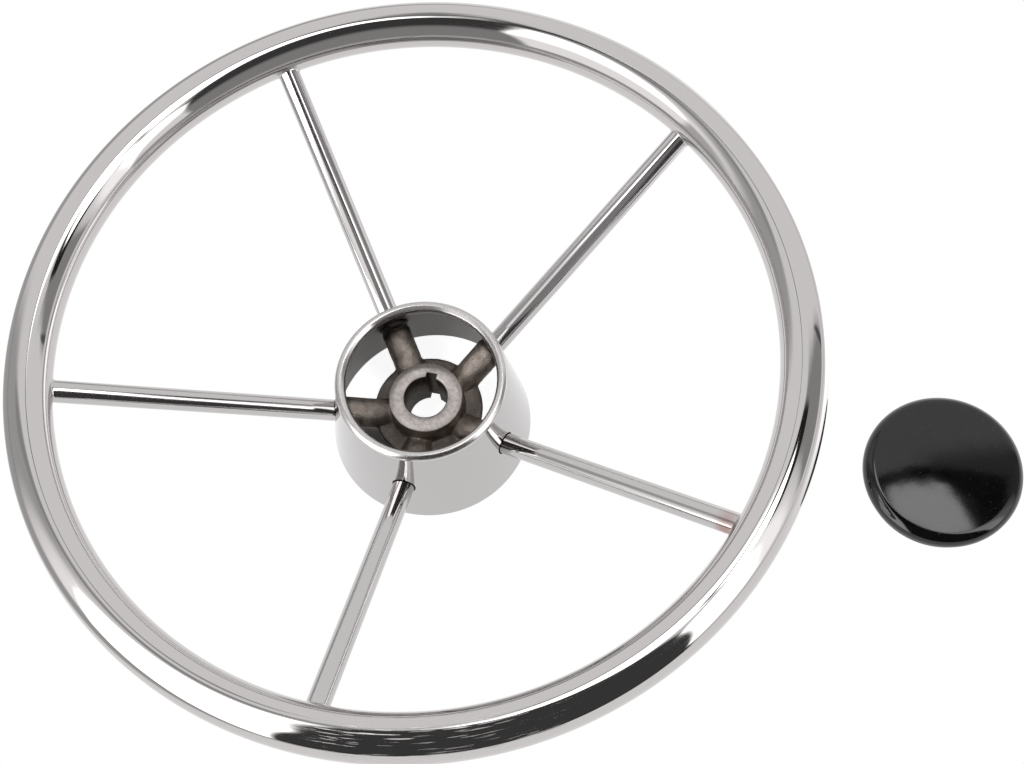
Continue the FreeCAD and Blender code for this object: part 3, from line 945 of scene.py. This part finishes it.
# %% [markdown]
# ## The centre cap
# A shallow dome with a rounded shoulder, moulded in one with the ring below that snaps into the hem. It lies
# on that ring, a few millimetres off the bench, and its outline is turned like the hub cover's. The dome is
# almost flat, so its lamp patches are wide and soft.

# %% Cap
CAP_EDGE = hem_x - CAP_INSET
PLUG = hem_x - HEM_RADIUS - 0.3
PLUG_DEPTH = 6.0
CAP_WALL = 2.0
SHOULDER = 5.5
CROWN = 300.0
SNAP = 0.7
CORNER = 0.2
cap_bore = PLUG - CAP_WALL
shoulder_x = CAP_EDGE - SHOULDER
shoulder_z = PLUG_DEPTH + 0.8
crown_z = shoulder_z - sqrt((CROWN - SHOULDER) ** 2 - shoulder_x**2)
crown_turn = degrees(acos(shoulder_x / (CROWN - SHOULDER)))
inner_turn = degrees(acos(cap_bore / (CROWN - CAP_WALL)))
cap_outline = outline_parts(
    [
        outline_arc((PLUG - CORNER, CORNER), CORNER, -90, 0, 4),
        outline_point(PLUG, SNAP),
        outline_arc((PLUG - 0.35, 2 * SNAP), SNAP + 0.35, -40, 40, 8),
        outline_point(PLUG, 3 * SNAP),
        outline_point(PLUG, PLUG_DEPTH),
        outline_arc((CAP_EDGE - CORNER, PLUG_DEPTH + CORNER), CORNER, -90, 0, 4),
        outline_arc((shoulder_x, shoulder_z), SHOULDER, 0, crown_turn, 24),
        outline_arc((0.0, crown_z), CROWN, crown_turn, 90, 24),
        outline_arc((0.0, crown_z), -(CROWN - CAP_WALL), 90, inner_turn, 12),
        outline_arc((cap_bore + CORNER, CORNER), CORNER, 180, 270, 4),
    ]
)
cap = add_piece("cap_moulding", lathe("cap_moulding", cap_outline, steps=256, centre=CAP_PLACE))
cap.data.materials.append(black)
true_directions(cap.data, cap_outline, CAP_PLACE)
stand_for(cap, "black_moulding", "centre_cap")

# %% [markdown]
# ## Bench
# The bench is plain white, as a light table is, so that only the object has shadows. Mirrors see it with a
# painted pool of light behind the wheel and painted shade at the far left. Inside the hub it is white paper,
# with a painted pool of light in its back half that stands for the light falling in over the hem, and dim
# in its front half.

# %% Bench
HUB_EDGE = 0.0449
GLOW_PLACE = (0.34, 0.24, 0.0)


def bench_material():
    material, add, place = new_material("white light table")
    x, y, _ = add("SeparateXYZ", [place]).node.outputs
    # painted light, seen only in reflections: a pool of light behind the wheel and shade at the far left are
    # painted into the bench's glow
    from_glow = add("VectorMath", [place, GLOW_PLACE], out="Value", operation="DISTANCE")
    glow = add("MapRange", [from_glow, 0.3, 0.1, 1.0, 1.9], **SOFT)
    dim = add("MapRange", [x, -0.19, -0.27, 1.0, 0.5], **SOFT)
    # painted pool of light: the paper's back half inside the hub glows, standing for light that falls in over
    # the hem
    lit = add("MapRange", [y, -0.01, 0.004, 0.0, 0.9], **SOFT)
    table = add("Math", [glow, dim], operation="MULTIPLY")
    seen = add("LightPath", out="Is Camera Ray")
    white_top = add("Mix", {0: seen, 2: table, 3: 1.0}, data_type="FLOAT")
    lamp = add("Emission", {"Strength": white_top})
    shown = add("MapRange", [seen, 0, 1, 0.2, 1.0])
    spot_light = add("Math", [lit, shown], operation="MULTIPLY")
    spot = add("Emission", {"Strength": spot_light})
    white = add("BsdfDiffuse", {"Color": (0.7, 0.7, 0.7, 1.0)})
    paper = add("AddShader", [spot, white])
    from_hub = add("VectorMath", [place], out="Value", operation="LENGTH")
    outside = add("Math", [from_hub, HUB_EDGE], operation="GREATER_THAN")
    add("OutputMaterial", [add("MixShader", [outside, paper, lamp])])
    return material


def stage_piece(name, mesh, material):
    """A card that belongs to the studio and not to the object."""
    mesh.materials.append(material)
    material.cycles.emission_sampling = "NONE"
    card = add_piece(name, mesh)
    return card


def stage_disc(name, radius, height, material):
    mesh = bmesh.new()
    bmesh.ops.create_circle(mesh, cap_ends=True, segments=96, radius=radius)
    bmesh.ops.translate(mesh, verts=mesh.verts, vec=(0.0, 0.0, height))
    return stage_piece(name, mesh_data(mesh, name), material)


stage_disc("bench", radius=4.0, height=-0.0002, material=bench_material())
print("the bench lies just under the hub cover's lower edge")

# %% [markdown]
# ## Studio
# A mirror shows nothing but its surroundings, so the studio matters more than the steel: large soft boxes
# give the white bands, and the dark room between them gives the black ones. They hang on a ceiling a metre
# up, because the wheel's two sides then see them at different angles, as in a real room. Each patch is given
# by its corners as seen from the hub, as compass direction and height in degrees. A patch is what lies
# inside all its sides, so its corners never bend inwards.

# %% Patches of light and dark
WALLS = 0.96
STUDIO = [
    # name, brightness, softness in degrees, corners in order round the patch
    ("grey left wall", 0.5, 6, [(-168, -6), (-172, 60), (170, 66), (163, 50), (163, -6)]),
    ("glow of the left box", 1.3, 8, [(-163, 2), (-170, 55), (175, 72), (-120, 60), (-112, 2)]),
    ("dark room", 0.06, 1.5, [(132, 76.5), (-108, -5), (-26, -5), (-5, 71)]),
    ("top box", 4.0, 1.0, [(113.7, 67.7), (79.7, 71.5), (38.4, 73), (17.7, 77), (18.4, 81), (129.5, 77.6)]),
    ("left soft box", 4.0, 1.5, [(158, 77.8), (-172, 66), (-152, 25), (-146, -4), (-108, -4), (-109, 50.5)]),
    ("frame beside the left box", 0.38, 1.5, [(121.5, 70), (154.6, 66.1), (166.4, 71.2), (133.4, 76.1)]),
    ("arm of the frame", 0.38, 1.5, [(152.2, 66.8), (168.7, 41.7), (175.8, 42.2), (167.5, 69.8)]),
    ("upper seam of the boxes", 0.35, 0.8, [(112.6, 54.8), (108.7, 55.5), (114, 67.9), (119, 67.1)]),
    ("lower seam of the boxes", 0.06, 0.4, [(117.1, 65.8), (113.5, 66.4), (179, 82.2), (180, 79.6)]),
    ("right soft box", 3.2, 1.0, [(12, 60), (20, 70), (5, 71), (-14, 64), (-26, 9), (-3, 12), (3, 44)]),
    ("fading side of the right box", 1.5, 4, [(6, 12), (12, 44), (24, 63), (12, 66), (-3, 44), (-10, 12)]),
    ("dark panel", 0.34, 3, [(43, 48), (30, 60), (14, 35), (8, 12), (38, 12)]),
    ("upper end of the panel", 0.34, 3, [(59, 63), (44, 65), (27, 56), (39, 40)]),
    ("seam of the panel", 0.12, 0.4, [(60, 62.5), (41, 42), (34, 12), (36, 12), (43, 42)]),
    ("lamp's hood", 0.02, 0.8, [(80, 69.5), (45, 79), (13, 66), (18, 56.9), (42, 50), (50, 58), (58, 65)]),
    ("lamp", 4.2, 1.0, [(62, 71), (59, 74), (37, 76), (15, 68), (18, 62), (36, 63), (46, 64), (52, 68)]),
]


def toward(azimuth, elevation):
    """Direction for a compass angle from +X and a height, in degrees."""
    a, e = radians(azimuth), radians(elevation)
    return Vector((cos(e) * cos(a), cos(e) * sin(a), sin(e)))


def studio_light(add, way):
    """The studio's brightness in a direction; later patches cover earlier ones."""
    light = WALLS
    for _, brightness, softness, corners in STUDIO:
        mask = 1.0
        soft = sin(radians(softness))
        sides = [toward(*corner) for corner in corners]
        middle = sum(sides, Vector())
        for a, b in zip(sides, sides[1:] + sides[:1]):
            border = a.cross(b).normalized()
            if border.dot(middle) < 0:
                border.negate()
            depth = add("VectorMath", [way, border], out="Value", operation="DOT_PRODUCT")
            edge = add("MapRange", [depth, -soft, soft], **SOFT)
            mask = add("Math", [mask, edge], operation="MULTIPLY")
        light = add("Mix", {0: mask, 2: light, 3: brightness}, data_type="FLOAT")
    return light


print(f"studio with {len(STUDIO)} patches of light and dark")

# %% [markdown]
# The ceiling carries the patches for everything near, and the world repeats them for the low directions that
# the ceiling doesn't reach. The camera sees only white behind the wheel.

# %% Ceiling and world
def ceiling_material():
    material, add, place = new_material("studio ceiling")
    way = add("VectorMath", [place], operation="NORMALIZE")
    add("OutputMaterial", [add("Emission", {"Strength": studio_light(add, way)})])
    return material


def studio_world():
    world = bpy.data.worlds.new("studio")
    world.use_nodes = True
    world.node_tree.nodes.clear()
    add = partial(add_node, world.node_tree)
    way = add("TexCoord", out="Generated")
    seen = add("LightPath", out="Is Camera Ray")
    shown = add("Mix", {0: seen, 2: studio_light(add, way), 3: 1.0}, data_type="FLOAT")
    sky = add("Background", {"Strength": shown})
    add("OutputWorld", {"Surface": sky})
    return world


ceiling = stage_disc("ceiling", radius=12.0, height=1.0, material=ceiling_material())
ceiling.visible_camera = False
scene = bpy.context.scene
scene.world = studio_world()
scene.view_settings.view_transform = "Standard"
print("ceiling and world are lit")

# %% [markdown]
# A photographer hangs a net before a shiny piece to soften what it mirrors. This one stands across the wheel
# behind the hub. Only the far half of the rim sees it, because it works from one side, and it thins out
# upwards and to both ends so that it leaves no edge in the mirror. The camera doesn't see it.

# %% Grey net
THREADS = 0.76
NET_GREY = 0.4


def net_material():
    material, add, place = new_material("grey net")
    x, _, height = add("SeparateXYZ", [place]).node.outputs
    aside = add("Math", [x], operation="ABSOLUTE")
    behind = add("NewGeometry", out="Backfacing")
    share = add("MapRange", [behind, 0, 1, THREADS, 0.0])
    for distance, full, gone in ((height, 0.19, 0.3), (aside, 0.1, 0.16)):
        fade = add("MapRange", [distance, gone, full], **SOFT)
        share = add("Math", [share, fade], operation="MULTIPLY")
    thread = add("Emission", {"Strength": NET_GREY})
    hole = add("BsdfTransparent")
    add("OutputMaterial", [add("MixShader", [share, hole, thread])])
    return material


def hang_net(half_width, y, low, high):
    mesh = bpy.data.meshes.new("net")
    corners = [(half_width, y, low), (-half_width, y, low), (-half_width, y, high), (half_width, y, high)]
    mesh.from_pydata(corners, [], [(0, 1, 2, 3)])
    net = stage_piece("net", mesh, net_material())
    net.visible_camera = False
    print("the net faces", [round(v, 1) for v in mesh.polygons[0].normal])


hang_net(half_width=0.16, y=0.02, low=0.055, high=0.3)

# %% [markdown]
# ## Camera
# The picture was taken from above and a little to the right of the wheel's lower edge, with the camera turned
# a few degrees. Its lens was found from the outline of the rim, a circle whose size is known.

# %% Camera
SENSOR = 36.0
LENS = 58.187
HEADING = radians(110.466)
LOOK_DOWN = radians(66.495)
ROLL = radians(8.303)
EYE = Vector((0.138713, -0.260287, 0.704920))

flat_way = cos(LOOK_DOWN)
forward = Vector((flat_way * cos(HEADING), flat_way * sin(HEADING), -sin(LOOK_DOWN)))
level = forward.cross(Vector((0.0, 0.0, 1.0))).normalized()
upward = level.cross(forward)
right = level * cos(ROLL) - upward * sin(ROLL)
up = upward * cos(ROLL) + level * sin(ROLL)
lens = bpy.data.cameras.new("studio_camera")
lens.sensor_width = SENSOR
lens.sensor_fit = "HORIZONTAL"
lens.lens = LENS
lens.clip_start = 0.01
camera = add_piece("studio_camera", lens)
camera.matrix_world = Matrix.Translation(EYE) @ Matrix((right, up, -forward)).transposed().to_4x4()
scene.camera = camera
print("camera stands at", [round(c, 3) for c in EYE], "m")
